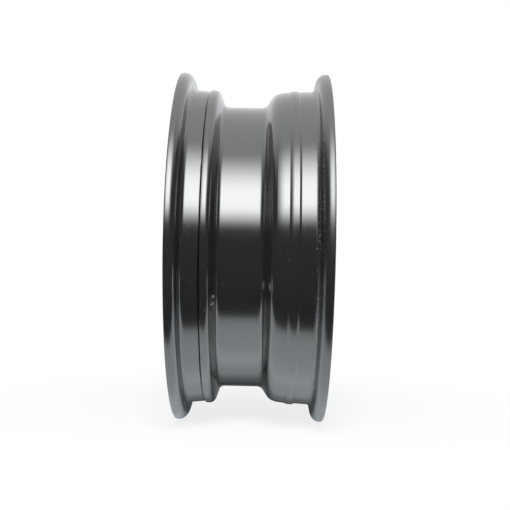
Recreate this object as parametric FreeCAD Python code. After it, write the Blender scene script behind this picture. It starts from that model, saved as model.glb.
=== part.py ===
import FreeCAD, Part
import math
import os

from FreeCAD import Vector

# A steel road wheel for a small car: a rim rolled from strip, a pressed centre disc and the fillet welds
# that join them. The wheel turns about Y, +Y is the outboard face and +Z is up. The origin is on the axis,
# midway between the flanges. Sizes are in millimetres and angles in degrees.

# Rim, measured on the tyre side
RIM_SHEET = 2.3
RIM_WIDTH = 127.0
BEAD_DIAMETER = 329.4
FLANGE_HEIGHT = 17.3
FLANGE_CURL_RADIUS = 8.7
FLANGE_REACH = 11.9
HEEL_RADIUS = 6.2
SEAT_TAPER = 5.0

# Outboard bead seat, its hump and the steep wall of the well
OUTER_SEAT_WIDTH = 17.8
OUTER_HUMP_RAMP = 2.7
OUTER_HUMP_RISE = 1.55
OUTER_HUMP_WIDTH = 6.0
OUTER_HUMP_BEND = 5.5
OUTER_WALL_RUN = 6.5
WELL_DEPTH = 17.6
WELL_OUTER_BEND = 6.0

# Inboard bead seat, its hump, the ledge beside it with its shoulder, and the sloping wall of the well
INNER_SEAT_WIDTH = 17.6
INNER_HUMP_RAMP = 2.0
INNER_HUMP_RISE = 1.95
INNER_HUMP_WIDTH = 4.1
LEDGE_RAMP = 3.8
LEDGE_DROP = 1.7
LEDGE_WIDTH = 8.2
LEDGE_FALL = 0.6
LEDGE_SHOULDER_RUN = 7.8
LEDGE_SHOULDER_FALL = 2.8
INNER_WALL_RUN = 8.0

# Valve hole, square to the steep wall of the well
VALVE_HOLE_DIAMETER = 11.3
VALVE_ANGLE = 198.3

# Centre disc, with its hub face outboard of the wheel's middle
DISC_SHEET = 3.2
HUB_FACE_OFFSET = 35.0
CENTRE_BORE = 57.1
COLLAR_RISE = 8.0
COLLAR_BEND = 3.0
HUB_FLAT_RADIUS = 70.0
CROWN_RISER_RUN = 18.0
CROWN_RISE = 18.0
CROWN_WIDTH = 16.0
DISC_FLANGE_LENGTH = 27.0
DISC_EDGE_SETBACK = 9.5
DISC_FIT_GAP = 0.1

# Bolt seats, pressed up from the hub face
BOLT_COUNT = 4
BOLT_CIRCLE = 100.0
BOLT_FIRST_ANGLE = 45.0
BOLT_HOLE_DIAMETER = 13.0
SEAT_CONE_ANGLE = 60.0
SEAT_LAND = 1.4
SEAT_LIFT = 0.6
SEAT_FOOT_WALL = 2.9
SEAT_GROOVE_WIDTH = 4.6
SEAT_GROOVE_DEPTH = 2.4
BOSS_BASE_RADIUS = 15.0
BOSS_CREST_WIDTH = 1.5
BOSS_RISE = 3.2

# Vent holes, square to the sloping band between the crown and the flange
VENT_COUNT = 8
VENT_FIRST_ANGLE = 22.5
VENT_DIAMETER = 26.0

# Lobes along the free edge of the disc's flange, with a scallop between each two
LOBE_COUNT = 4
LOBE_FIRST_ANGLE = 0.0
SCALLOP_DEPTH = 9.0
SCALLOP_RADIUS = 60.0

# Fillet weld on each lobe
WELD_LEG = 3.2
WELD_LENGTH = 76.0

# A rounded bend is rolled in flats that each take about this much of its turn
BEND_STEP = 40.0

AXIS = Vector(0, 1, 0)
ORIGIN = Vector(0, 0, 0)


def unit(start, end):
    """Unit direction from one point of a section to another."""
    length = math.hypot(end[0] - start[0], end[1] - start[1])
    return ((end[0] - start[0]) / length, (end[1] - start[1]) / length)


def midpoint(start, end):
    """The point halfway between two points of a section."""
    return ((start[0] + end[0]) / 2, (start[1] + end[1]) / 2)


def bend_points(before, corner, after):
    """Points that roll one corner, (y, r, bend radius), of a path round in flats that touch its arc.

    A corner with no radius is a plain fold.
    """
    y, r, radius = corner
    if radius == 0:
        return [(y, r)]
    back = unit(corner, before)
    ahead = unit(corner, after)
    side = math.copysign(1, ahead[0] * back[1] - ahead[1] * back[0])
    turn = math.pi - math.acos(back[0] * ahead[0] + back[1] * ahead[1])
    folds = max(1, round(math.degrees(turn) / BEND_STEP))
    tangent = radius * math.tan(turn / 2)
    arm = (-side * back[1] * radius, side * back[0] * radius)
    centre = (y + back[0] * tangent - arm[0], r + back[1] * tangent - arm[1])
    fold = turn / folds
    reach = 1 / math.cos(fold / 2)
    points = []
    for index in range(folds):
        angle = side * fold * (index + 0.5)
        points.append((
            centre[0] + (arm[0] * math.cos(angle) - arm[1] * math.sin(angle)) * reach,
            centre[1] + (arm[0] * math.sin(angle) + arm[1] * math.cos(angle)) * reach,
        ))
    return points


def bent_path(corners):
    """Points of a path with each of its inner corners rolled round."""
    points = [corners[0][:2]]
    for before, corner, after in zip(corners, corners[1:], corners[2:]):
        points += bend_points(before, corner, after)
    return points + [corners[-1][:2]]


def sheet_outline(corners, thickness):
    """Closed outline of a bent sheet that lies on the left of a path of (y, r, bend radius) corners."""
    near = bent_path(corners)
    far = []
    for index, (y, r) in enumerate(near):
        into = unit(*near[max(index - 1, 0):][:2])
        out = unit(*near[min(index, len(near) - 2):][:2])
        mitre = thickness / (1 + into[0] * out[0] + into[1] * out[1])
        far.append((y - (into[1] + out[1]) * mitre, r + (into[0] + out[0]) * mitre))
    return near + far[::-1]


def turned(outline, angle=360):
    """The solid that a closed outline of (y, r) points sweeps about the wheel's axis."""
    points = [Vector(r, y, 0) for y, r in outline]
    return Part.Face(Part.makePolygon(points + points[:1])).revolve(ORIGIN, AXIS, angle)


def around(r, angle, y):
    """The point at a radius and an angle about the wheel's axis, counted from +X towards +Z."""
    return Vector(r * math.cos(math.radians(angle)), y, r * math.sin(math.radians(angle)))


def spread_angles(count, first):
    """Angles of a pattern spread evenly about the wheel's axis."""
    return [first + 360 * index / count for index in range(count)]


def punch(diameter, sheet, start, end, angle):
    """A round punch, square to a straight run of a sheet and through the run's middle."""
    along = unit(start, end)
    middle = midpoint(start, end)
    direction = around(along[0], angle, -along[1])
    reach = direction * (diameter + sheet)
    start = around(middle[1], angle, middle[0]) - reach
    return Part.makeCylinder(diameter / 2, 2 * reach.Length, start, direction)


def flange_corners(side):
    """Edge, curl and heel of one rim flange. The side is 1 outboard and -1 inboard."""
    crest_radius = bead_radius + FLANGE_HEIGHT
    return [
        (side * (half_width + FLANGE_REACH), crest_radius, 0),
        (side * half_width, crest_radius, FLANGE_CURL_RADIUS),
        (side * half_width, bead_radius, HEEL_RADIUS),
    ]


# Places along the rim's contour, from the outboard flange to the inboard one
half_width = RIM_WIDTH / 2
bead_radius = BEAD_DIAMETER / 2
well_radius = bead_radius - WELL_DEPTH
seat_slope = math.tan(math.radians(SEAT_TAPER))

outer_foot = (half_width - OUTER_SEAT_WIDTH, bead_radius - OUTER_SEAT_WIDTH * seat_slope)
outer_crest = (outer_foot[0] - OUTER_HUMP_RAMP, outer_foot[1] + OUTER_HUMP_RISE)
outer_brow = (outer_crest[0] - OUTER_HUMP_WIDTH, outer_crest[1])
well_outer = (outer_brow[0] - OUTER_WALL_RUN, well_radius)

inner_foot = (INNER_SEAT_WIDTH - half_width, bead_radius - INNER_SEAT_WIDTH * seat_slope)
inner_crest = (inner_foot[0] + INNER_HUMP_RAMP, inner_foot[1] + INNER_HUMP_RISE)
inner_brow = (inner_crest[0] + INNER_HUMP_WIDTH, inner_crest[1])
ledge_end = (inner_brow[0] + LEDGE_RAMP, inner_brow[1] - LEDGE_DROP)
ledge = (ledge_end[0] + LEDGE_WIDTH, ledge_end[1] - LEDGE_FALL)
ledge_shoulder = (ledge[0] + LEDGE_SHOULDER_RUN, ledge[1] - LEDGE_SHOULDER_FALL)
well_inner = (ledge_shoulder[0] + INNER_WALL_RUN, well_radius)

# Places along the disc, from the bore to the flange that is pressed into the well
bore_radius = CENTRE_BORE / 2
disc_face_y = HUB_FACE_OFFSET + DISC_SHEET
crown_start = (disc_face_y + CROWN_RISE, HUB_FLAT_RADIUS + CROWN_RISER_RUN)
crown_end = (crown_start[0], crown_start[1] + CROWN_WIDTH)
well_bore_radius = well_radius - RIM_SHEET
disc_flange_radius = well_bore_radius - DISC_FIT_GAP
disc_edge_y = well_inner[0] + DISC_EDGE_SETBACK
shoulder = (disc_edge_y + DISC_FLANGE_LENGTH, disc_flange_radius)


def make_rim():
    """The rolled rim, with its valve hole."""
    corners = flange_corners(1) + [
        (*outer_foot, 0),
        (*outer_crest, 0),
        (*outer_brow, OUTER_HUMP_BEND),
        (*well_outer, WELL_OUTER_BEND),
        (*well_inner, 0),
        (*ledge_shoulder, 0),
        (*ledge, 0),
        (*ledge_end, 0),
        (*inner_brow, 0),
        (*inner_crest, 0),
        (*inner_foot, 0),
    ] + flange_corners(-1)[::-1]
    valve_hole = punch(VALVE_HOLE_DIAMETER, RIM_SHEET, outer_brow, well_outer, VALVE_ANGLE)
    return turned(sheet_outline(corners, RIM_SHEET)).cut(valve_hole)


def make_bolt_seat():
    """A bolt seat about the wheel's axis, as what it adds to the disc and what it then cuts away.

    A round boss rises from the disc's face, and a cone falls from its crest to the bolt hole. Behind it a
    groove follows the boss and leaves a foot round the hole, lifted clear of the hub.
    """
    hole_radius = BOLT_HOLE_DIAMETER / 2
    slope = math.tan(math.radians(SEAT_CONE_ANGLE / 2))
    crest_y = disc_face_y + BOSS_RISE
    foot_y = HUB_FACE_OFFSET + SEAT_LIFT
    land_y = foot_y + SEAT_LAND
    cone_radius = hole_radius + (crest_y - land_y) * slope
    foot_radius = hole_radius + SEAT_FOOT_WALL
    groove_y = HUB_FACE_OFFSET + SEAT_GROOVE_DEPTH
    behind_y = HUB_FACE_OFFSET - DISC_SHEET
    boss = turned([
        (disc_face_y, 0),
        (disc_face_y, BOSS_BASE_RADIUS),
        (crest_y, cone_radius + BOSS_CREST_WIDTH),
        (crest_y, 0),
    ])
    groove = turned([
        (behind_y, 0),
        (behind_y, foot_radius + SEAT_GROOVE_WIDTH),
        (HUB_FACE_OFFSET, foot_radius + SEAT_GROOVE_WIDTH),
        (groove_y, foot_radius + (groove_y - foot_y) * slope),
        (foot_y, foot_radius),
        (foot_y, 0),
    ])
    cone = turned([
        (behind_y, 0),
        (behind_y, hole_radius),
        (land_y, hole_radius),
        (crest_y, cone_radius),
        (crest_y, 0),
    ])
    return boss, groove.fuse(cone)


def make_scallop(angle):
    """The cutter of one scallop in the flange's free edge, a cylinder that lies along a radius."""
    start = around(disc_flange_radius - SCALLOP_RADIUS, angle, disc_edge_y + SCALLOP_DEPTH - SCALLOP_RADIUS)
    return Part.makeCylinder(SCALLOP_RADIUS, 2 * SCALLOP_RADIUS, start, around(1, angle, 0))


def make_centre_disc():
    """The pressed disc, with its bolt seats, vent holes and scalloped flange."""
    corners = [
        (disc_face_y + COLLAR_RISE, bore_radius + DISC_SHEET, 0),
        (disc_face_y, bore_radius + DISC_SHEET, COLLAR_BEND),
        (disc_face_y, HUB_FLAT_RADIUS, 0),
        (*crown_start, 0),
        (*crown_end, 0),
        (*shoulder, 0),
        (disc_edge_y, disc_flange_radius, 0),
    ]
    bosses = []
    cuts = []
    boss, seat_cut = make_bolt_seat()
    for angle in spread_angles(BOLT_COUNT, BOLT_FIRST_ANGLE):
        bolt = around(BOLT_CIRCLE / 2, angle, 0)
        bosses.append(boss.translated(bolt))
        cuts.append(seat_cut.translated(bolt))
    for angle in spread_angles(VENT_COUNT, VENT_FIRST_ANGLE):
        cuts.append(punch(VENT_DIAMETER, DISC_SHEET, crown_end, shoulder, angle))
    for angle in spread_angles(LOBE_COUNT, LOBE_FIRST_ANGLE):
        cuts.append(make_scallop(angle + 180 / LOBE_COUNT))
    return turned(sheet_outline(corners, DISC_SHEET)).fuse(bosses).cut(cuts).removeSplitter()


def make_weld_beads():
    """The fillet welds between the lobes' edges and the inside of the well."""
    sweep = math.degrees(WELD_LENGTH / well_bore_radius)
    bead = turned([
        (disc_edge_y, well_bore_radius),
        (disc_edge_y - WELD_LEG, well_bore_radius),
        (disc_edge_y, well_bore_radius - WELD_LEG),
    ], sweep)
    beads = []
    for angle in spread_angles(LOBE_COUNT, LOBE_FIRST_ANGLE):
        beads.append(bead.rotated(ORIGIN, AXIS, -angle - sweep / 2))
    return Part.makeCompound(beads)


os.makedirs("parts", exist_ok=True)
make_rim().exportStep("parts/rim.step")
make_centre_disc().exportStep("parts/centre_disc.step")
make_weld_beads().exportStep("parts/weld_beads.step")
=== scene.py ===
"""A bare steel wheel in a white studio: a rolled rim, a pressed centre disc and the welds that join them.

Sizes are in millimetres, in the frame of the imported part: the wheel turns about Y, +Y is outboard and +Z is
up. They become metres where a mesh is made. A sheet is a surface of two parameters, the angle about the axle
and the length along the sheet's section.
"""

import logging
import math
from dataclasses import dataclass, field
from enum import Enum

import bpy
import numpy as np
from mathutils import Matrix, Vector


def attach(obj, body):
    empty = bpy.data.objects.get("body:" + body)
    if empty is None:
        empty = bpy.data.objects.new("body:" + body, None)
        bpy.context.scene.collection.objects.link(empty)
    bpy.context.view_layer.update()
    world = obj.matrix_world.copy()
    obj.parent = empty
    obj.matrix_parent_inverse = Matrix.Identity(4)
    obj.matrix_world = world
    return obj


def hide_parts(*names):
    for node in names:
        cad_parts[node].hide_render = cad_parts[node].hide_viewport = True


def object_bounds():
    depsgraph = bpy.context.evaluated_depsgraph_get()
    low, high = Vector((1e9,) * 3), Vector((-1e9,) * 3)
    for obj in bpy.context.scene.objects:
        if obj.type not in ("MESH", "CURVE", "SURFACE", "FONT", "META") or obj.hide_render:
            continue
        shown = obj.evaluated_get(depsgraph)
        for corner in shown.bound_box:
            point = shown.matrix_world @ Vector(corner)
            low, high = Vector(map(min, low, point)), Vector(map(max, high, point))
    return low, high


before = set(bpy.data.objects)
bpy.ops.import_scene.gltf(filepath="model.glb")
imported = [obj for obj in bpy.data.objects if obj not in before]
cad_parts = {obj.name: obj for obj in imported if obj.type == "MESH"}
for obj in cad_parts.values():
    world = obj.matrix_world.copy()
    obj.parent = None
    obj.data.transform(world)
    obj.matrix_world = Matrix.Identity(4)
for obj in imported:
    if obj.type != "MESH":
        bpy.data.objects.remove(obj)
CAD_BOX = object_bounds()

LOG = logging.getLogger("steel_wheel")
MM = 0.001
ALONG = "along"  # the attribute that holds each point's length along its section
NOWHERE = 1000.0  # a length past the end of every section
ARC_STEP = 9.0  # the most that a bend turns between rows, in degrees
RUN_MARGIN = 0.4  # how far inside the bent ends of a straight run its rows lie
EDGE_SEGMENTS = 4  # flats across a rounded edge
SMOOTH = {"interpolation_type": "SMOOTHSTEP"}


class Side(Enum):
    """The two sides of the wheel, as the sign of Y."""

    OUTBOARD = 1
    INBOARD = -1


@dataclass(frozen=True)
class Corner:
    """A corner of a sheet's section: its place along the axle, its distance from it and its bend's radius."""

    across: float
    out: float
    bend: float = 0.0


class Section:
    """The line that a bent sheet follows from edge to edge: straight runs joined by arcs."""

    def __init__(self, corners: list[Corner]) -> None:
        """Work out the runs and arcs.

        An arc of radius R that turns by t leaves both its runs R tan(t/2) short of their corner.

        Args:
            corners: The corners in order. The first and last are the sheet's edges and aren't bent.
        """
        places = np.array([(corner.across, corner.out) for corner in corners])
        radii = np.array([corner.bend for corner in corners[1:-1]])
        runs = np.diff(places, axis=0)
        lengths = np.hypot(runs[:, 0], runs[:, 1])
        heads = runs / lengths[:, None]
        before, after = heads[:-1], heads[1:]
        turns = np.arctan2(
            before[:, 0] * after[:, 1] - before[:, 1] * after[:, 0],
            (before * after).sum(axis=1),
        )
        tangents = radii * np.tan(np.abs(turns) / 2)
        stretches = 2 * len(runs) - 1
        spans = np.empty(stretches)
        spans[0::2] = np.maximum(lengths - np.append(tangents, 0) - np.insert(tangents, 0, 0), 0)
        spans[1::2] = radii * np.abs(turns)
        self.curvatures = np.zeros(stretches)
        self.curvatures[1::2] = np.sign(turns) / radii
        self.heads = np.repeat(heads, 2, axis=0)[:stretches]
        self.starts = np.empty((stretches, 2))
        self.starts[0] = places[0]
        self.starts[1::2] = places[1:-1] - before * tangents[:, None]
        self.starts[2::2] = places[1:-1] + after * tangents[:, None]
        self.marks = np.insert(np.cumsum(spans), 0, 0)

    def at(self, along: np.ndarray | float) -> np.ndarray:
        """Places on the line.

        A distance d into a stretch of curvature k, the place is its start plus sin(kd)/k ahead and
        (1 - cos(kd))/k to the left, or just d ahead where the stretch is straight.

        Args:
            along: Lengths along the line.

        Returns:
            The places, along the axle and out from it, on a new last axis.
        """
        stretch = np.clip(np.searchsorted(self.marks, along, side="right") - 1, 0, len(self.heads) - 1)
        distance = along - self.marks[stretch]
        curvature = self.curvatures[stretch]
        bent = curvature != 0
        divisor = np.where(bent, curvature, 1)
        ahead = np.where(bent, np.sin(curvature * distance) / divisor, distance)
        left = np.where(bent, (1 - np.cos(curvature * distance)) / divisor, 0)
        head = self.heads[stretch]
        normal = np.stack([-head[..., 1], head[..., 0]], axis=-1)
        return self.starts[stretch] + head * ahead[..., None] + normal * left[..., None]

    def middle_of_run(self, run: int) -> float:
        """Length along the line to the middle of one of its straight runs."""
        return (self.marks[2 * run] + self.marks[2 * run + 1]) / 2

    def rows(self, run_step: float) -> np.ndarray:
        """Lengths along the line for the rows of a grid.

        The first and last rows of a straight run lie a margin inside its bent ends, which keeps the run flat
        to the eye.

        Args:
            run_step: The most that rows lie apart on a straight run.

        Returns:
            The lengths, from the line's start to its end.
        """
        rows = []
        for start, end, curvature in zip(self.marks[:-1], self.marks[1:], self.curvatures):
            if curvature:
                count = math.ceil(math.degrees((end - start) * abs(curvature)) / ARC_STEP)
                rows.append(np.linspace(start, end, count + 1))
            elif end - start > 2 * RUN_MARGIN:
                count = math.ceil((end - start) / run_step)
                low = start + RUN_MARGIN * (start > 0)
                high = end - RUN_MARGIN * (end < self.marks[-1])
                rows.append(np.linspace(low, high, count + 1))
        return np.unique(np.round(np.concatenate(rows), decimals=6))


@dataclass(frozen=True)
class Patch:
    """The block of a sheet's grid that makes room for a hole.

    It reaches so many columns and so far along the section each way from the hole's middle, and is filled by
    so many rings between the hole's edge and its own.
    """

    columns: int
    reach: float
    rings: int


@dataclass(frozen=True)
class Hole:
    """A round hole in a turned sheet: its angle in degrees, its length along the section and its radius.

    The distance is how far its middle is from the axle, and the edge is the width of its rounding.
    """

    angle: float
    along: float
    distance: float
    radius: float
    patch: Patch
    edge: float


@dataclass
class SheetGrid:
    """A grid round a turned sheet, with round holes in it: angles, lengths along the section and faces.

    The edge is the width of the rounding at the sheet's two ends, and edges gives it for every point: a
    hole's own width on its edge, and nothing inside the sheet.
    """

    rows: np.ndarray
    columns: int
    first_angle: float
    edge: float
    holes: list[Hole]
    angles: np.ndarray = field(init=False)
    lengths: np.ndarray = field(init=False)
    edges: np.ndarray = field(init=False)
    faces: np.ndarray = field(init=False)

    def __post_init__(self) -> None:
        """Lay the grid out, take each hole's patch away and fill it with rings.

        Each point of a ring lies a share of the way from the hole's edge to the patch's border, on a line out
        from the hole's middle.
        """
        count = len(self.rows)
        index = np.arange(self.columns * count).reshape(self.columns, count)
        after = np.roll(index, -1, axis=0)
        quads = np.stack([index[:, :-1], after[:, :-1], after[:, 1:], index[:, 1:]], axis=-1)
        kept = np.ones(quads.shape[:2], dtype=bool)
        step = 2 * np.pi / self.columns
        first = math.radians(self.first_angle)
        angles = [np.repeat(first + np.arange(self.columns) * step, count)]
        lengths = [np.tile(self.rows, self.columns)]
        ends = np.isin(np.arange(count), [0, count - 1])
        edges = [np.tile(ends * self.edge, self.columns)]
        rings = []
        total = index.size
        for hole in self.holes:
            patch = hole.patch
            middle = round((math.radians(hole.angle) - first) / step)
            low, high = np.searchsorted(self.rows, [hole.along - patch.reach, hole.along + patch.reach])
            kept[np.arange(middle - patch.columns, middle + patch.columns) % self.columns, low:high] = False
            column, row = self.border(patch.columns, low, high)
            border = index[(middle + column) % self.columns, row]
            edge = np.stack([column * step * hole.distance, self.rows[row] - hole.along])
            rim = edge / np.hypot(edge[0], edge[1]) * hole.radius
            share = np.arange(patch.rings)[:, None] / patch.rings
            across, up = (rim[:, None] * (1 - share) + edge[:, None] * share)
            angles.append(math.radians(hole.angle) + across.ravel() / hole.distance)
            lengths.append(hole.along + up.ravel())
            edges.append(np.repeat(np.where(share == 0, hole.edge, 0), across.shape[1], axis=1).ravel())
            ring = np.vstack([total + np.arange(across.size).reshape(across.shape), border])
            onward = np.roll(ring, -1, axis=1)
            rings.append(np.stack([ring[:-1], ring[1:], onward[1:], onward[:-1]], axis=-1).reshape(-1, 4))
            total += across.size
        used, faces = np.unique(np.concatenate([quads[kept], *rings]), return_inverse=True)
        self.faces = faces.reshape(-1, 4)
        self.angles = np.concatenate(angles)[used]
        self.lengths = np.concatenate(lengths)[used]
        self.edges = np.concatenate(edges)[used]

    @staticmethod
    def border(columns: int, low: int, high: int) -> tuple[np.ndarray, np.ndarray]:
        """Columns and rows once round the border of a patch.

        Args:
            columns: How many columns the patch reaches each way from its middle.
            low: The patch's first row.
            high: The patch's last row.

        Returns:
            The columns, counted from the middle, and the rows, in order and each corner once.
        """
        across = np.arange(-columns, columns + 1)
        up = np.arange(low, high + 1)
        column = [across[:-1], np.full(len(up) - 1, columns), across[:0:-1], np.full(len(up) - 1, -columns)]
        row = [np.full(2 * columns, low), up[:-1], np.full(2 * columns, high), up[:0:-1]]
        return np.concatenate(column), np.concatenate(row)


def turned(section: Section, angles: np.ndarray, lengths: np.ndarray) -> np.ndarray:
    """Points of a turned sheet: (r cos a, y, r sin a), with y and r from the section.

    Args:
        section: The sheet's section.
        angles: Angles about the axle, from +X towards +Z, in radians.
        lengths: Lengths along the section.

    Returns:
        The points, in millimetres, one a row.
    """
    across, out = section.at(lengths).T
    return np.stack([out * np.cos(angles), across, out * np.sin(angles)], axis=1)


def spread(count: int, first: float) -> np.ndarray:
    """Angles of a pattern spread evenly about the axle, from its first one, in degrees."""
    return first + np.arange(count) * 360 / count


def make_piece(name: str, points: np.ndarray, faces: np.ndarray, along: np.ndarray) -> bpy.types.Object:
    """Put a surface of four-sided faces into a new object at the origin.

    Args:
        name: The piece's name.
        points: Its points, in millimetres, one a row.
        faces: The points of each face, one face a row.
        along: Each point's length along the section, which finishes read as an attribute.

    Returns:
        The new object.
    """
    mesh = bpy.data.meshes.new(name)
    mesh.vertices.add(len(points))
    mesh.vertices.foreach_set("co", (points * MM).astype(np.float32).ravel())
    mesh.loops.add(faces.size)
    mesh.loops.foreach_set("vertex_index", faces.astype(np.int32).ravel())
    mesh.polygons.add(len(faces))
    mesh.polygons.foreach_set("loop_start", np.arange(0, faces.size, faces.shape[1], dtype=np.int32))
    mesh.polygons.foreach_set("use_smooth", np.ones(len(faces), dtype=bool))
    mesh.update(calc_edges=True)
    mesh.validate()
    mesh.attributes.new(ALONG, "FLOAT", "POINT").data.foreach_set("value", along.astype(np.float32))
    piece = bpy.data.objects.new(name, mesh)
    bpy.context.collection.objects.link(piece)
    return piece


def thicken(piece: bpy.types.Object, sheet: float, edges: np.ndarray) -> None:
    """Give a surface its sheet, on the side that faces away from its normals, and round the sheet's edges.

    Args:
        piece: The surface.
        sheet: The sheet's thickness.
        edges: The width of the rounding at each point, which is nothing inside the sheet.
    """
    mesh = piece.data
    pairs = np.empty(2 * len(mesh.edges), dtype=np.int32)
    mesh.edges.foreach_get("vertices", pairs)
    widest = float(edges.max())
    shares = (edges / widest)[pairs.reshape(-1, 2)].min(axis=1).astype(np.float32)
    mesh.attributes.new("bevel_weight_edge", "FLOAT", "EDGE").data.foreach_set("value", shares)
    wall = piece.modifiers.new("sheet", "SOLIDIFY")
    wall.thickness = sheet * MM
    wall.offset = -1
    wall.use_quality_normals = True
    rounding = piece.modifiers.new("rounded edges", "BEVEL")
    rounding.width = widest * MM
    rounding.segments = EDGE_SEGMENTS
    rounding.limit_method = "WEIGHT"
    rounding.harden_normals = True


def fit(piece: bpy.types.Object, node: str, finish: bpy.types.Material) -> None:
    """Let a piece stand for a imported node.

    Args:
        piece: The piece.
        node: The node that it replaces.
        finish: The piece's material.
    """
    piece.data.materials.append(finish)
    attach(piece, "root")
    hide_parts(node)
    faces = len(piece.data.polygons)
    LOG.info("%s stands for %s, with %d faces before its modifiers", piece.name, node, faces)


def linear(code: str) -> tuple[float, float, float, float]:
    """Linear colour of an sRGB hex code such as #808080, by the standard curve."""
    shares = [int(code[start:start + 2], 16) / 255 for start in (1, 3, 5)]
    return (*[v / 12.92 if v <= 0.04045 else ((v + 0.055) / 1.055) ** 2.4 for v in shares], 1.0)


def add(
    tree: bpy.types.NodeTree, kind: str, settings: dict | None = None, links: dict | None = None
) -> bpy.types.Node:
    """Add a node.

    Args:
        tree: The tree that it goes into.
        kind: The node's type.
        settings: Values of its properties, or of its inputs by name or number.
        links: The outputs that feed its inputs, by the input's name or number.

    Returns:
        The new node.
    """
    node = tree.nodes.new(kind)
    for key, value in (settings or {}).items():
        if isinstance(key, str) and key not in node.inputs:
            setattr(node, key, value)
        else:
            node.inputs[key].default_value = value
    for key, output in (links or {}).items():
        tree.links.new(output, node.inputs[key])
    return node


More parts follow.
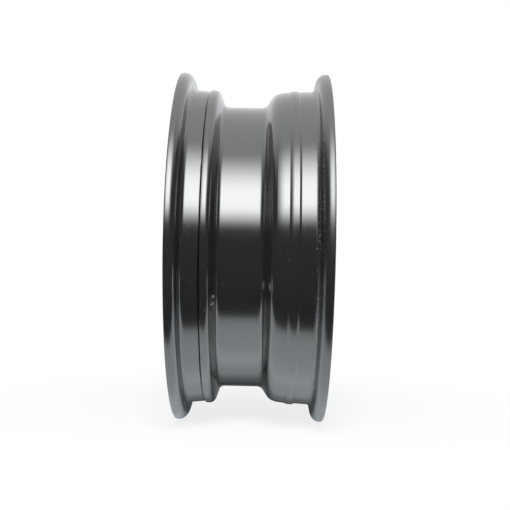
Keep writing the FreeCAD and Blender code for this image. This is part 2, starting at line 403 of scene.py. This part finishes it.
@dataclass(frozen=True)
class StovedEnamel:
    """Graphite stoving enamel on steel: metal flake under a hard gloss, which mirrors the room dimly.

    The eye sees soft-edged reflections, a faint orange peel, streaks left by the rolls and a little dust. In
    one span of the section dust has settled, and from there on it hazes the gloss. Along one crease a dark
    line of shade is painted into the colour. Sizes are in millimetres.
    """

    name: str
    colour: str = "#818180"
    roughness: float = 0.12
    roughness_swing: float = 0.02
    flake: float = 0.95
    streak_width: float = 3.0
    streak_length: float = 70.0
    streak_detail: float = 3.0
    streak_range: tuple[float, float] = (0.3, 0.7)
    streak_relief: float = 0.0014
    peel_width: float = 2.6
    peel_detail: float = 1.0
    peel_relief: float = 0.0012
    dust_spacing: float = 2.2
    dust_sizes: tuple[float, float] = (0.3, 0.75)
    dust_colour: str = "#6a6761"
    dust_share: float = 0.02
    dusty_span: tuple[float, float] = (NOWHERE, NOWHERE)
    dusty_ease: float = 1.5
    dusty_colour: str = "#d0cdc4"
    dusty_share: float = 0.85
    dusty_haze: float = 0.14
    # A near-black line along the crease, painted into the colour as shade; these fields place and colour it.
    crease: float = NOWHERE
    crease_core: float = 0.45
    crease_edge: float = 1.1
    crease_waver: float = 0.5
    crease_wave: float = 14.0
    crease_detail: float = 1.0
    crease_shade_colour: str = "#181715"

    def build(self) -> bpy.types.Material:
        """Make the material.

        Returns:
            The new material.
        """
        material = bpy.data.materials.new(self.name)
        material.use_nodes = True
        tree = material.node_tree
        shader = tree.nodes["Principled BSDF"].inputs
        place = add(tree, "ShaderNodeTexCoord").outputs["Object"]
        along = add(tree, "ShaderNodeAttribute", {"attribute_name": ALONG}).outputs["Fac"]
        streak = self.streaks(tree, place, along)
        haze, film = self.settled(tree, along)
        speck = self.specks(tree, place, film)
        # Painted shade along the crease.
        crease_shade = self.crease_shade(tree, place, along)
        tree.links.new(self.paint(tree, film, speck, crease_shade), shader["Base Color"])
        flake = add(
            tree, "ShaderNodeMath", {"operation": "MULTIPLY_ADD", 1: -self.flake, 2: self.flake}, {0: speck}
        ).outputs[0]
        tree.links.new(flake, shader["Metallic"])
        tree.links.new(self.gloss(tree, streak, haze), shader["Roughness"])
        tree.links.new(self.relief(tree, place, streak), shader["Normal"])
        return material

    def streaks(
        self, tree: bpy.types.NodeTree, place: bpy.types.NodeSocket, along: bpy.types.NodeSocket
    ) -> bpy.types.NodeSocket:
        """Noise drawn out round the wheel: it changes quickly along the section and slowly about the axle.

        Args:
            tree: The material's tree.
            place: The place on the piece.
            along: The length along the section.

        Returns:
            The streaks, from 0 to 1.
        """
        axes = add(tree, "ShaderNodeSeparateXYZ", links={0: place}).outputs
        across = {"operation": "DIVIDE", 1: self.streak_width}
        row = add(tree, "ShaderNodeMath", across, {0: along}).outputs[0]
        turn = {"operation": "DIVIDE", 1: self.streak_length * MM}
        front = add(tree, "ShaderNodeMath", turn, {0: axes["X"]}).outputs[0]
        height = add(tree, "ShaderNodeMath", turn, {0: axes["Z"]}).outputs[0]
        line = add(tree, "ShaderNodeCombineXYZ", links={0: row, 1: front, 2: height}).outputs[0]
        noise = {"Scale": 1.0, "Detail": self.streak_detail}
        return add(tree, "ShaderNodeTexNoise", noise, {"Vector": line}).outputs["Fac"]

    def settled(
        self, tree: bpy.types.NodeTree, along: bpy.types.NodeSocket
    ) -> tuple[bpy.types.NodeSocket, bpy.types.NodeSocket]:
        """Where dust has settled.

        Args:
            tree: The material's tree.
            along: The length along the section.

        Returns:
            The haze, which rises where the dusty span starts and stays, and the film, which ends with it.
        """
        haze, clear = (
            add(
                tree, "ShaderNodeMapRange",
                {**SMOOTH, "From Min": start, "From Max": start + self.dusty_ease}, {"Value": along},
            ).outputs["Result"]
            for start in self.dusty_span
        )
        film = add(tree, "ShaderNodeMath", {"operation": "SUBTRACT"}, {0: haze, 1: clear}).outputs[0]
        return haze, film

    def specks(
        self, tree: bpy.types.NodeTree, place: bpy.types.NodeSocket, film: bpy.types.NodeSocket
    ) -> bpy.types.NodeSocket:
        """Specks of dust: the middles of a few cells, and of most cells in the film.

        A cell has a speck where its red is over the least value, which is one less the share of cells that
        are dusty. Its green sets the speck's size.

        Args:
            tree: The material's tree.
            place: The place on the piece.
            film: How far the dust has settled.

        Returns:
            The specks, as 1 at their middles and 0 between them.
        """
        least = add(
            tree, "ShaderNodeMath",
            {"operation": "MULTIPLY_ADD", 1: self.dust_share - self.dusty_share, 2: 1 - self.dust_share},
            {0: film},
        ).outputs[0]
        cell = add(
            tree, "ShaderNodeTexVoronoi", {"Scale": 1 / (self.dust_spacing * MM)}, {"Vector": place}
        ).outputs
        shades = add(tree, "ShaderNodeSeparateColor", links={0: cell["Color"]}).outputs
        chosen = add(
            tree, "ShaderNodeMath", {"operation": "GREATER_THAN"}, {0: shades["Red"], 1: least}
        ).outputs[0]
        smallest, largest = (size / self.dust_spacing for size in self.dust_sizes)
        radius = add(
            tree, "ShaderNodeMapRange", {"To Min": smallest, "To Max": largest}, {"Value": shades["Green"]}
        ).outputs["Result"]
        near = add(
            tree, "ShaderNodeMapRange", {**SMOOTH, "From Max": 0.0},
            {"Value": cell["Distance"], "From Min": radius},
        ).outputs["Result"]
        return add(tree, "ShaderNodeMath", {"operation": "MULTIPLY"}, {0: near, 1: chosen}).outputs[0]

    def crease_shade(
        self, tree: bpy.types.NodeTree, place: bpy.types.NodeSocket, along: bpy.types.NodeSocket
    ) -> bpy.types.NodeSocket:
        """Painted shade in the crease, round a line that wavers a little about the crease's place on the
        section.

        Args:
            tree: The material's tree.
            place: The place on the piece.
            along: The length along the section.

        Returns:
            The painted shade: 1 within its core, falling to 0 at its edge.
        """
        sway = add(
            tree, "ShaderNodeTexNoise",
            {"Scale": 1 / (self.crease_wave * MM), "Detail": self.crease_detail}, {"Vector": place},
        ).outputs["Fac"]
        swayed = add(
            tree, "ShaderNodeMath",
            {"operation": "MULTIPLY_ADD", 1: 2 * self.crease_waver}, {0: sway, 2: along},
        ).outputs[0]
        miss = add(
            tree, "ShaderNodeMath", {"operation": "SUBTRACT", 1: self.crease + self.crease_waver}, {0: swayed}
        ).outputs[0]
        distance = add(tree, "ShaderNodeMath", {"operation": "ABSOLUTE"}, {0: miss}).outputs[0]
        return add(
            tree, "ShaderNodeMapRange",
            {**SMOOTH, "From Min": self.crease_edge, "From Max": self.crease_core}, {"Value": distance},
        ).outputs["Result"]

    def paint(
        self, tree: bpy.types.NodeTree, film: bpy.types.NodeSocket, speck: bpy.types.NodeSocket,
        crease_shade: bpy.types.NodeSocket,
    ) -> bpy.types.NodeSocket:
        """Colour of the surface: enamel, then specks of dust, which are paler in the film, then the crease's
        painted shade.

        Args:
            tree: The material's tree.
            film: How far the dust has settled.
            speck: The specks of dust.
            crease_shade: The painted shade in the crease.

        Returns:
            The colour.
        """
        dust = add(
            tree, "ShaderNodeMix",
            {"data_type": "RGBA", "A": linear(self.dust_colour), "B": linear(self.dusty_colour)},
            {"Factor": film},
        ).outputs["Result"]
        dusted = add(
            tree, "ShaderNodeMix", {"data_type": "RGBA", "A": linear(self.colour)},
            {"Factor": speck, "B": dust},
        ).outputs["Result"]
        # Last, the crease's painted shade darkens the colour.
        return add(
            tree, "ShaderNodeMix", {"data_type": "RGBA", "B": linear(self.crease_shade_colour)},
            {"Factor": crease_shade, "A": dusted},
        ).outputs["Result"]

    def gloss(
        self, tree: bpy.types.NodeTree, streak: bpy.types.NodeSocket, haze: bpy.types.NodeSocket
    ) -> bpy.types.NodeSocket:
        """Roughness of the surface: it swings with the streaks and rises with the haze.

        Args:
            tree: The material's tree.
            streak: The streaks.
            haze: The haze of dust.

        Returns:
            The roughness.
        """
        low, high = self.streak_range
        swing = add(
            tree, "ShaderNodeMapRange",
            {
                "From Min": low, "To Min": self.roughness - self.roughness_swing,
                "From Max": high, "To Max": self.roughness + self.roughness_swing,
            },
            {"Value": streak},
        ).outputs["Result"]
        return add(
            tree, "ShaderNodeMath", {"operation": "MULTIPLY_ADD", 1: self.dusty_haze}, {0: haze, 2: swing}
        ).outputs[0]

    def relief(
        self, tree: bpy.types.NodeTree, place: bpy.types.NodeSocket, streak: bpy.types.NodeSocket
    ) -> bpy.types.NodeSocket:
        """Direction that the surface faces, with the streaks under the enamel's orange peel.

        Args:
            tree: The material's tree.
            place: The place on the piece.
            streak: The streaks.

        Returns:
            The direction.
        """
        peel = add(
            tree, "ShaderNodeTexNoise",
            {"Scale": 1 / (self.peel_width * MM), "Detail": self.peel_detail}, {"Vector": place},
        ).outputs["Fac"]
        rolled = add(
            tree, "ShaderNodeBump", {"Strength": 1.0, "Distance": self.streak_relief * MM}, {"Height": streak}
        ).outputs["Normal"]
        return add(
            tree, "ShaderNodeBump", {"Strength": 1.0, "Distance": self.peel_relief * MM},
            {"Height": peel, "Normal": rolled},
        ).outputs["Normal"]


@dataclass
class Rim:
    """The rolled rim, drawn on its tyre side from the outboard lip to the inboard one.

    Each hump rises from its foot by a small sharp step, then swells to its crest.
    """

    sheet: float = 2.3
    width: float = 127.0
    crest_radius: float = 182.0
    curl: float = 8.9
    lip_droop: float = 19.0
    bead_radius: float = 164.7
    heel: float = 5.6
    bed: tuple[Corner, ...] = (
        Corner(45.4, 162.9, 0.25),  # outboard hump: foot, step, crest and brow
        Corner(44.5, 164.3, 0.3),
        Corner(42.9, 164.67, 11.0),
        Corner(36.85, 164.67, 6.5),
        Corner(30.65, 147.1, 6.0),  # well
        Corner(-11.45, 147.1, 8.0),
        Corner(-19.86, 160.05, 12.9),  # ledge's shoulder, which eases into the ledge
        Corner(-27.7, 162.75, 29.5),
        Corner(-35.2, 163.34, 0.3),  # inboard hump: foot, step, crest, brow and the fall to the seat
        Corner(-35.85, 163.66, 0.4),
        Corner(-38.68, 164.92, 12.3),
        Corner(-43.9, 164.75, 1.5),
        Corner(-45.9, 163.78, 1.0),
    )
    valve_hole: float = 11.3
    valve_angle: float = 198.3
    valve_edge: float = 0.4
    valve_patch: Patch = Patch(columns=4, reach=9.0, rings=4)
    columns: int = 288
    run_step: float = 8.0
    edge: float = 1.1
    step_run: int = 3
    wall_run: int = 6
    dusty_curl: float = 1 / 3

    def flange(self, side: Side) -> list[Corner]:
        """Lip, curl and heel of one flange.

        The curl turns by a right angle and the lip's droop, and its crest is the rim's largest radius, so the
        corner that it rounds lies its tangent's length above its middle.

        Args:
            side: Which flange.

        Returns:
            The corners, from the lip's edge to the heel.
        """
        sign = side.value
        face = self.width / 2
        droop = math.radians(self.lip_droop)
        tangent = self.curl * math.tan((math.pi / 2 + droop) / 2)
        corner = self.crest_radius - self.curl + tangent
        return [
            Corner(sign * (face + tangent * math.cos(droop)), corner - tangent * math.sin(droop)),
            Corner(sign * face, corner, self.curl),
            Corner(sign * face, self.bead_radius, self.heel),
        ]

    def section(self) -> Section:
        """The rim's section.

        Returns:
            The line of the tyre side.
        """
        return Section([*self.flange(Side.OUTBOARD), *self.bed, *self.flange(Side.INBOARD)[::-1]])

    def build(self) -> bpy.types.Object:
        """Make the rim, with its valve hole square to the steep wall of the well.

        Returns:
            The new object.
        """
        section = self.section()
        middle = section.middle_of_run(self.wall_run)
        hole = Hole(
            self.valve_angle, middle, section.at(middle)[1], self.valve_hole / 2,
            self.valve_patch, self.valve_edge,
        )
        grid = SheetGrid(section.rows(self.run_step), self.columns, self.valve_angle, self.edge, [hole])
        piece = make_piece("rolled_rim", turned(section, grid.angles, grid.lengths), grid.faces, grid.lengths)
        thicken(piece, self.sheet, grid.edges)
        return piece

    def dress(self, piece: bpy.types.Object) -> None:
        """Enamel the rim and let it stand for its node.

        Dust has settled in its inboard heel and up to the curl of the flange, and shade is painted dark into
        the crease at the foot of its outboard hump.

        Args:
            piece: The rim.
        """
        marks = self.section().marks
        heel, _, curl, lip, _ = marks[-5:]
        enamel = StovedEnamel(
            "stoved_graphite_enamel_on_rolled_steel",
            dusty_span=(heel, curl + (lip - curl) * self.dusty_curl),
            # Where the crease's painted shade lies.
            crease=marks[2 * self.step_run],
        )
        fit(piece, "rim", enamel.build())


@dataclass
class CentreDisc:
    """The pressed centre disc, drawn on its outboard side from the collar to the flange's free edge.

    A corner of a bolt seat is its distance from the hole's edge and its height above the disc's face.
    """

    sheet: float = 3.2
    hub_face: float = 35.0
    bore: float = 57.1
    collar_rise: float = 8.0
    collar_bend: float = 3.0
    hub_flat: float = 70.0
    riser: float = 18.0
    riser_bend: float = 8.0
    crown_rise: float = 18.0
    crown: float = 16.0
    crown_bend: float = 10.0
    flange_radius: float = 144.7
    flange_edge: float = -2.5
    flange_length: float = 27.0
    flange_bend: float = 9.0
    bolts: int = 4
    bolt_circle: float = 100.0
    bolt_first: float = 45.0
    bolt_hole: float = 13.0
    bolt_patch: Patch = Patch(columns=15, reach=12.0, rings=9)
    seat: tuple[Corner, ...] = (
        Corner(0.0, -1.2),  # foot of the cone, at the hole
        Corner(2.54, 3.2, 1.0),  # crest of the boss
        Corner(4.3, 3.2, 1.6),
        Corner(9.0, 0.0, 5.0),  # foot of the boss, on the face
        Corner(14.0, 0.0),
    )
    seat_samples: int = 400
    vents: int = 8
    vent_first: float = 22.5
    vent_hole: float = 26.0
    vent_patch: Patch = Patch(columns=8, reach=18.0, rings=5)
    lobes: int = 4
    scallop_depth: float = 9.0
    scallop_radius: float = 60.0
    columns: int = 288
    run_step: float = 1.6
    edge: float = 0.6
    hub_run: int = 1
    band_run: int = 4

    def section(self) -> Section:
        """The disc's section.

        Returns:
            The line of the outboard side.
        """
        face = self.hub_face + self.sheet
        collar = self.bore / 2 + self.sheet
        crown = face + self.crown_rise
        crown_start = self.hub_flat + self.riser
        return Section([
            Corner(face + self.collar_rise, collar),
            Corner(face, collar, self.collar_bend),
            Corner(face, self.hub_flat, self.riser_bend),
            Corner(crown, crown_start, self.crown_bend),
            Corner(crown, crown_start + self.crown, self.crown_bend),
            Corner(self.flange_edge + self.flange_length, self.flange_radius, self.flange_bend),
            Corner(self.flange_edge, self.flange_radius),
        ])

    def lift(self, points: np.ndarray) -> np.ndarray:
        """Height that the bolt seats add: the seat's section at the distance to the nearest bolt hole.

        Args:
            points: Points of the plain disc, one a row.

        Returns:
            The height to add to each point along the axle.
        """
        angles = np.radians(spread(self.bolts, self.bolt_first))
        across = points[:, 0, None] - np.cos(angles) * self.bolt_circle / 2
        up = points[:, 2, None] - np.sin(angles) * self.bolt_circle / 2
        distance = np.hypot(across, up).min(axis=1) - self.bolt_hole / 2
        seat = Section(list(self.seat))
        line = seat.at(np.linspace(0, seat.marks[-1], self.seat_samples))
        return np.interp(distance, line[:, 0], line[:, 1])

    def trimmed(self, section: Section, angles: np.ndarray, lengths: np.ndarray) -> np.ndarray:
        """Lengths along the section once the flange's free edge is scalloped.

        Midway between two lobes the edge falls back by the scallop's depth, and by R - sqrt(R^2 - x^2) less
        at x to each side. The flange's rows close up in proportion.

        Args:
            section: The disc's section.
            angles: Angles about the axle, in radians.
            lengths: Lengths along the plain section.

        Returns:
            The lengths, shortened on the flange.
        """
        pitch = 2 * np.pi / self.lobes
        offset = (angles % pitch) - pitch / 2
        across = np.clip(self.flange_radius * np.sin(offset), -self.scallop_radius, self.scallop_radius)
        depth = self.scallop_depth - self.scallop_radius + np.sqrt(self.scallop_radius**2 - across**2)
        start, end = section.marks[-2:]
        share = np.clip((lengths - start) / (end - start), 0, 1)
        return lengths - share * np.maximum(depth, 0)

    def holes(self, section: Section) -> list[Hole]:
        """The bolt holes and vent holes.

        Args:
            section: The disc's section.

        Returns:
            The holes, in the section's lengths.
        """
        bolt = section.marks[2 * self.hub_run] + self.bolt_circle / 2 - section.starts[2 * self.hub_run, 1]
        band = section.middle_of_run(self.band_run)
        bolts = [
            Hole(angle, bolt, self.bolt_circle / 2, self.bolt_hole / 2, self.bolt_patch, self.edge)
            for angle in spread(self.bolts, self.bolt_first)
        ]
        vents = [
            Hole(angle, band, section.at(band)[1], self.vent_hole / 2, self.vent_patch, self.edge)
            for angle in spread(self.vents, self.vent_first)
        ]
        return bolts + vents

    def build(self) -> bpy.types.Object:
        """Make the disc, with its bolt seats, vent holes and scalloped flange.

        Returns:
            The new object.
        """
        section = self.section()
        grid = SheetGrid(section.rows(self.run_step), self.columns, 0.0, self.edge, self.holes(section))
        lengths = self.trimmed(section, grid.angles, grid.lengths)
        points = turned(section, grid.angles, lengths)
        points[:, 1] += self.lift(points)
        piece = make_piece("pressed_disc", points, grid.faces, lengths)
        thicken(piece, self.sheet, grid.edges)
        return piece

    def dress(self, piece: bpy.types.Object) -> None:
        """Enamel the disc and let it stand for its node."""
        enamel = StovedEnamel("stoved_graphite_enamel_on_pressed_steel")
        fit(piece, "centre_disc", enamel.build())


@dataclass
class WeldBeads:
    """The fillet welds between the lobes of the disc's flange and the inside of the well."""

    count: int = 4
    corner_radius: float = 144.8
    corner: float = -2.5
    leg: float = 3.2
    length: float = 76.0
    ripple_spacing: float = 2.4
    ripple_trail: float = 0.35
    ripple: float = 0.06
    root: float = 0.2
    fullness: float = 1.35
    end_power: int = 8
    end_share: float = 0.999
    roughness: float = 0.24
    steps: int = 240
    face_points: int = 13

    def bead(self, angle: float) -> np.ndarray:
        """Rings of points along one bead.

        Across the bead the face is a quarter of a superellipse from one leg to the other, and the root lies
        just past the corner. Along it the legs swell with each ripple, which trails towards the bead's edges,
        and shrink to the ends as the square root of one less a high power of the way from the middle.

        Args:
            angle: The angle of the bead's middle, in degrees.

        Returns:
            The points, in millimetres, by step along the bead and place round it.
        """
        way = np.linspace(-1, 1, self.steps)[:, None] * self.end_share
        swing = np.linspace(0, np.pi / 2, self.face_points)[None, :]
        trail = self.ripple_trail * np.cos(2 * swing) ** 2
        wave = 2 * np.pi * (way * self.length / 2 / self.ripple_spacing - trail)
        leg = self.leg * np.sqrt(1 - way**self.end_power) * (1 + self.ripple * (np.cos(wave) - 1))
        across = self.corner - leg * np.cos(swing) ** self.fullness
        out = self.corner_radius - leg * np.sin(swing) ** self.fullness
        root = np.full((self.steps, 1), self.root)
        across = np.hstack([across, self.corner + root])
        out = np.hstack([out, self.corner_radius + root])
        turn = math.radians(angle) + way * self.length / 2 / self.corner_radius
        return np.stack([out * np.cos(turn), across, out * np.sin(turn)], axis=-1)

    def build(self) -> bpy.types.Object:
        """Make all the beads as one piece.

        Returns:
            The new object.
        """
        beads = np.stack([self.bead(angle) for angle in spread(self.count, 0.0)])
        ring = self.face_points + 1
        index = np.arange(beads.size // 3).reshape(self.count, self.steps, ring)
        side = np.roll(index, -1, axis=2)
        walls = np.stack([index[:, :-1], side[:, :-1], side[:, 1:], index[:, 1:]], axis=-1).reshape(-1, 4)
        rung = np.arange(ring // 2 - 1)
        start, end = index[:, 0], index[:, -1]
        caps = [
            np.stack([start[:, rung + 1], start[:, rung], start[:, -rung - 1], start[:, -rung - 2]], axis=-1),
            np.stack([end[:, rung], end[:, rung + 1], end[:, -rung - 2], end[:, -rung - 1]], axis=-1),
        ]
        faces = np.concatenate([walls, *[cap.reshape(-1, 4) for cap in caps]])
        along = np.tile(np.arange(ring), self.count * self.steps)
        return make_piece("fillet_welds", beads.reshape(-1, 3), faces, along)

    def dress(self, piece: bpy.types.Object) -> None:
        """Enamel the welds and let them stand for their node."""
        enamel = StovedEnamel("stoved_graphite_enamel_on_weld_metal", roughness=self.roughness)
        fit(piece, "weld_beads", enamel.build())


@dataclass(frozen=True)
class Glow:
    """How bright the studio is at one place: an elevation in degrees, or a depth on the floor."""

    place: float
    level: float


def grey(level: float) -> tuple[float, float, float, float]:
    """Linear colour of an even grey."""
    return (level, level, level, 1.0)


def ramp(
    tree: bpy.types.NodeTree, place: bpy.types.NodeSocket, unit: float, glows: tuple[Glow, ...], tint: str
) -> bpy.types.NodeSocket:
    """Light against a place, eased from one level to the next.

    Args:
        tree: The tree that it goes into.
        place: The place, in the tree's own unit.
        unit: The size of the levels' unit in that one.
        glows: The levels, in order.
        tint: The light's colour.

    Returns:
        The light.
    """
    first, last = glows[0].place, glows[-1].place
    share = add(
        tree, "ShaderNodeMapRange", {"From Min": first * unit, "From Max": last * unit}, {"Value": place}
    ).outputs["Result"]
    node = add(tree, "ShaderNodeValToRGB", links={0: share})
    node.color_ramp.interpolation = "EASE"
    stops = node.color_ramp.elements
    for _ in glows[2:]:
        stops.new(0.5)
    for stop, glow in zip(stops, glows):
        stop.color = (*[glow.level * channel for channel in linear(tint)[:3]], 1)
    for stop, glow in zip(stops, glows):
        stop.position = (glow.place - first) / (last - first)
    return node.outputs["Color"]


@dataclass
class PaperFloor:
    """A sheet of white paper under the wheel.

    The mirrored levels, by depth behind the axle, are painted light and shade that the wheel's gloss sees on
    the glowing paper: dark at its front edge, brighter before the wheel and a painted shadow under it. Away
    to the sides it shows one open level.
    """

    colour: str = "#f1f9ff"
    front: float = -300.0
    back: float = 2500.0
    half_width: float = 1300.0
    glow: float = 0.8
    fade: tuple[float, float] = (120.0, 450.0)
    # Painted light and shade for the gloss: brighter before the wheel and a painted shadow under it.
    mirrored: tuple[Glow, ...] = (
        Glow(-300, 0.02), Glow(-240, 0.04), Glow(-222, 0.11), Glow(-192, 0.73), Glow(-165, 0.87),
        Glow(-120, 0.93), Glow(-86, 1.1), Glow(-52, 0.78), Glow(-12, 0.24), Glow(25, 0.08), Glow(180, 0.3),
        Glow(420, 0.85), Glow(2500, 0.9),
    )
    open_level: float = 0.75
    aside: tuple[float, float] = (250.0, 500.0)

    def lay(self) -> None:
        """Lay the sheet at the wheel's foot, with its front edge a little before the wheel."""
        height = CAD_BOX[0].z / MM
        x = np.array([self.front, self.back])[[0, 1, 1, 0]]
        y = np.array([-1, -1, 1, 1]) * self.half_width
        points = np.stack([x, y, np.full(4, height)], axis=1)
        floor = make_piece("floor", points, np.arange(4)[None, :], np.zeros(4))
        floor.data.materials.append(self.paper())

    def paper(self) -> bpy.types.Material:
        """Make the paper, which is matt, and which glows to the gloss with painted light and shade.

        Returns:
            The new material.
        """
        material = bpy.data.materials.new("white_paper")
        material.use_nodes = True
        tree = material.node_tree
        shader = tree.nodes["Principled BSDF"]
        shader.inputs["Base Color"].default_value = linear(self.colour)
        shader.inputs["Roughness"].default_value = 1.0
        shader.inputs["Specular IOR Level"].default_value = 0.0
        rays = add(tree, "ShaderNodeLightPath").outputs
        place = add(tree, "ShaderNodeTexCoord").outputs["Object"]

        # Near the wheel the camera sees its shadow; away from it the paper fades into the white background.
        distance = add(tree, "ShaderNodeVectorMath", {"operation": "LENGTH"}, {0: place}).outputs["Value"]
        start, end = self.fade
        share = add(
            tree, "ShaderNodeMapRange",
            {**SMOOTH, "From Min": start * MM, "From Max": end * MM, "To Min": self.glow},
            {"Value": distance},
        ).outputs["Result"]
        seen = add(
            tree, "ShaderNodeMath", {"operation": "MULTIPLY"}, {0: share, 1: rays["Is Camera Ray"]}
        ).outputs[0]
        white = add(tree, "ShaderNodeEmission", {"Strength": 1.0}).outputs[0]
        direct = add(tree, "ShaderNodeMixShader", links={0: seen, 1: shader.outputs[0], 2: white}).outputs[0]

        # The wheel's gloss sees painted levels by depth, with a painted shadow under the wheel, and the open
        # level aside.
        axes = add(tree, "ShaderNodeSeparateXYZ", links={0: place}).outputs
        aside = add(tree, "ShaderNodeMath", {"operation": "ABSOLUTE"}, {0: axes["Y"]}).outputs[0]
        start, end = self.aside
        beside = add(
            tree, "ShaderNodeMapRange", {**SMOOTH, "From Min": start * MM, "From Max": end * MM},
            {"Value": aside},
        ).outputs["Result"]
        levels = ramp(tree, axes["X"], MM, self.mirrored, self.colour)
        glow = add(
            tree, "ShaderNodeMix", {"data_type": "RGBA", "B": grey(self.open_level)},
            {"Factor": beside, "A": levels},
        ).outputs["Result"]
        pale = add(tree, "ShaderNodeEmission", {"Strength": 1.0}, {"Color": glow}).outputs[0]
        mixed = add(
            tree, "ShaderNodeMixShader", links={0: rays["Is Glossy Ray"], 1: direct, 2: pale}
        ).outputs[0]
        tree.links.new(mixed, tree.nodes["Material Output"].inputs["Surface"])
        return material


@dataclass
class StudioLight:
    """A softbox before the wheel, a broad pale backdrop over and behind it, and dark sides to the room.

    Their levels are by elevation over the camera's side, where 90 is overhead. A half width is where the
    softbox or the backdrop starts and ends to fade, as the sideways part of a direction. Only the wheel's
    gloss shows them: the camera sees plain white, and matt surfaces see an even fill.
    """

    softbox: tuple[Glow, ...] = (
        Glow(-180, 0.84), Glow(-90, 0.1), Glow(-51, 0.026), Glow(4, 0.036), Glow(12.5, 0.09),
        Glow(32.5, 4.38), Glow(41, 4.38), Glow(80, 0.82), Glow(110, 0.87), Glow(180, 0.98),
    )
    softbox_tint: str = "#fbfdff"
    softbox_half_width: tuple[float, float] = (0.18, 0.64)
    backdrop: tuple[Glow, ...] = (
        Glow(-180, 0.84), Glow(-90, 0.1), Glow(-51, 0.026), Glow(40, 0.05), Glow(60, 0.16), Glow(80, 0.43),
        Glow(95, 0.69), Glow(110, 0.83), Glow(180, 0.9),
    )
    backdrop_tint: str = "#ffffff"
    backdrop_half_width: tuple[float, float] = (0.68, 0.82)
    sides: float = 0.04
    fill: float = 0.22
    key_distance: float = 1500.0
    key_elevation: float = 36.0
    key_size: float = 500.0
    key_power: float = 30.0

    def fill_room(self) -> None:
        """Light the room from the world."""
        world = bpy.data.worlds.new("studio")
        bpy.context.scene.world = world
        world.use_nodes = True
        tree = world.node_tree
        direction = add(tree, "ShaderNodeTexCoord").outputs["Generated"]
        axes = add(tree, "ShaderNodeSeparateXYZ", links={0: direction}).outputs
        ahead = add(tree, "ShaderNodeMath", {"operation": "MULTIPLY", 1: -1.0}, {0: axes["X"]}).outputs[0]
        angle = add(tree, "ShaderNodeMath", {"operation": "ARCTAN2"}, {0: axes["Z"], 1: ahead}).outputs[0]
        aside = add(tree, "ShaderNodeMath", {"operation": "ABSOLUTE"}, {0: axes["Y"]}).outputs[0]
        past_softbox, past_backdrop = (
            add(
                tree, "ShaderNodeMapRange", {**SMOOTH, "From Min": start, "From Max": end}, {"Value": aside}
            ).outputs["Result"]
            for start, end in (self.softbox_half_width, self.backdrop_half_width)
        )
        degree = math.radians(1)
        front = add(tree, "ShaderNodeMix", {"data_type": "RGBA"}, {
            "Factor": past_softbox,
            "A": ramp(tree, angle, degree, self.softbox, self.softbox_tint),
            "B": ramp(tree, angle, degree, self.backdrop, self.backdrop_tint),
        }).outputs["Result"]
        glow = add(
            tree, "ShaderNodeMix", {"data_type": "RGBA", "B": grey(self.sides)},
            {"Factor": past_backdrop, "A": front},
        ).outputs["Result"]
        rays = add(tree, "ShaderNodeLightPath").outputs
        room = add(
            tree, "ShaderNodeMix", {"data_type": "RGBA", "A": grey(self.fill)},
            {"Factor": rays["Is Glossy Ray"], "B": glow},
        ).outputs["Result"]
        lit = add(tree, "ShaderNodeBackground", {"Strength": 1.0}, {"Color": room}).outputs[0]
        white = add(tree, "ShaderNodeBackground", {"Color": grey(1.0), "Strength": 1.0}).outputs[0]
        mixed = add(
            tree, "ShaderNodeMixShader", links={0: rays["Is Camera Ray"], 1: lit, 2: white}
        ).outputs[0]
        tree.links.new(mixed, tree.nodes["World Output"].inputs["Surface"])

    def hang_key(self) -> None:
        """Hang a square soft lamp in front of the wheel, which lights the floor and isn't mirrored."""
        data = bpy.data.lights.new("key", "AREA")
        data.shape = "SQUARE"
        data.size = self.key_size * MM
        data.energy = self.key_power
        key = bpy.data.objects.new("key", data)
        height = math.radians(self.key_elevation)
        key.location = Vector((-math.cos(height), 0, math.sin(height))) * self.key_distance * MM
        key.rotation_euler = key.location.to_track_quat("Z", "Y").to_euler()
        key.visible_glossy = False
        key.visible_camera = False
        bpy.context.collection.objects.link(key)


@dataclass
class Viewpoint:
    """Where the photograph was taken: in front of the tread, level with the axle. Angles are in degrees."""

    distance: float = 937.7
    inboard: float = 15.5
    yaw: float = 0.784
    pitch: float = 0.502
    roll: float = 1.057
    focal_pixels: float = 876.1
    picture_pixels: float = 510.0
    sensor: float = 36.0
    nearest: float = 10.0

    def place(self) -> None:
        """Put the camera there.

        The picture's own axes are right, down and ahead, which are inboard, down and back on the wheel,
        turned by the roll, pitch and yaw.
        """
        turn = (
            Matrix.Rotation(math.radians(self.roll), 3, "Z")
            @ Matrix.Rotation(math.radians(self.pitch), 3, "X")
            @ Matrix.Rotation(math.radians(self.yaw), 3, "Y")
        )
        to_wheel = Matrix(((0, 0, 1), (-1, 0, 0), (0, -1, 0)))
        right, down, ahead = (to_wheel @ turn[axis] for axis in range(3))
        data = bpy.data.cameras.new("camera")
        data.sensor_width = self.sensor
        data.lens = self.focal_pixels * self.sensor / self.picture_pixels
        data.clip_start = self.nearest * MM
        camera = bpy.data.objects.new("camera", data)
        pose = Matrix((right, -down, -ahead)).transposed().to_4x4()
        pose.translation = Vector((-self.distance, -self.inboard, 0)) * MM
        camera.matrix_world = pose
        bpy.context.collection.objects.link(camera)
        bpy.context.scene.camera = camera


def main() -> None:
    """Build the wheel's pieces and the studio in order."""
    logging.basicConfig(level=logging.INFO, format="%(name)s: %(message)s")
    for part in (Rim(), CentreDisc(), WeldBeads()):
        part.dress(part.build())
    PaperFloor().lay()
    light = StudioLight()
    light.hang_key()
    light.fill_room()
    Viewpoint().place()
    bpy.context.scene.view_settings.view_transform = "Standard"


if __name__ == "__main__":
    main()
